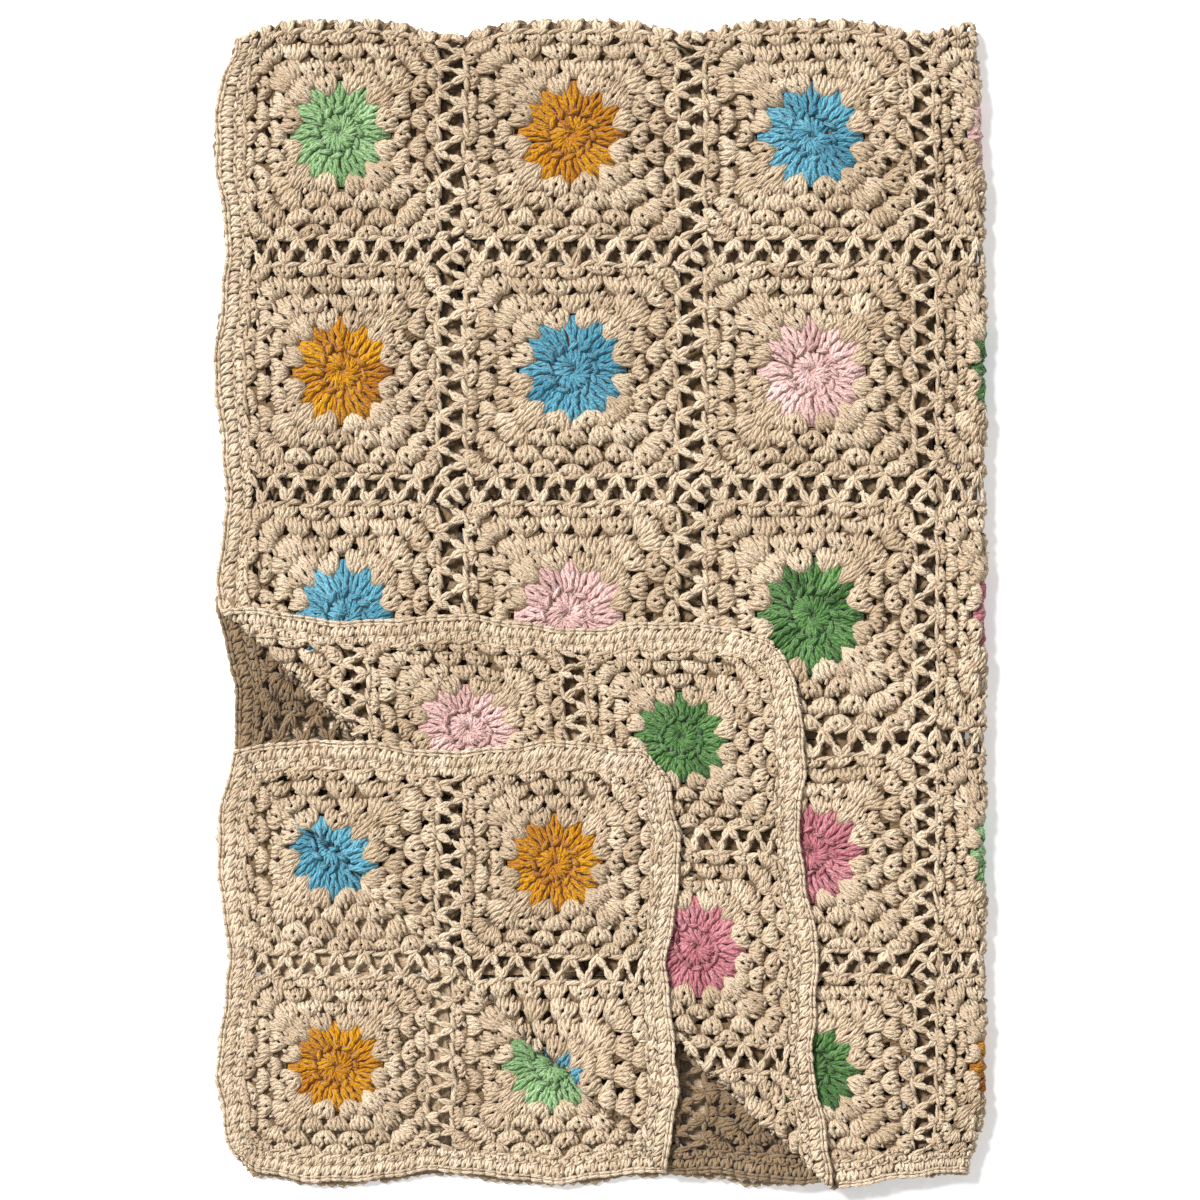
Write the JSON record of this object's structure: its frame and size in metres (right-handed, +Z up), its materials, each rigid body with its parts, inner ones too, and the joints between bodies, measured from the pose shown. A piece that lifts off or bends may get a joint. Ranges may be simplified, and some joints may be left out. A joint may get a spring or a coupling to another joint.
{
  "type": "crochet throw blanket",
  "caption": "Crochet throw of star squares joined by an open lattice, folded in four with two corners turned up.",
  "frame": {"origin": "on the surface that the folded throw lies on, under the middle of its outline", "axes": "+Z up from the surface, +Y towards the top fold, +X towards the side fold"},
  "size_m": [0.5926, 0.901, 0.0321],
  "materials": {
    "cotton": "matte"
  },
  "bodies": {
    "root": {"throw": "cotton"}
  },
  "joints": []
}
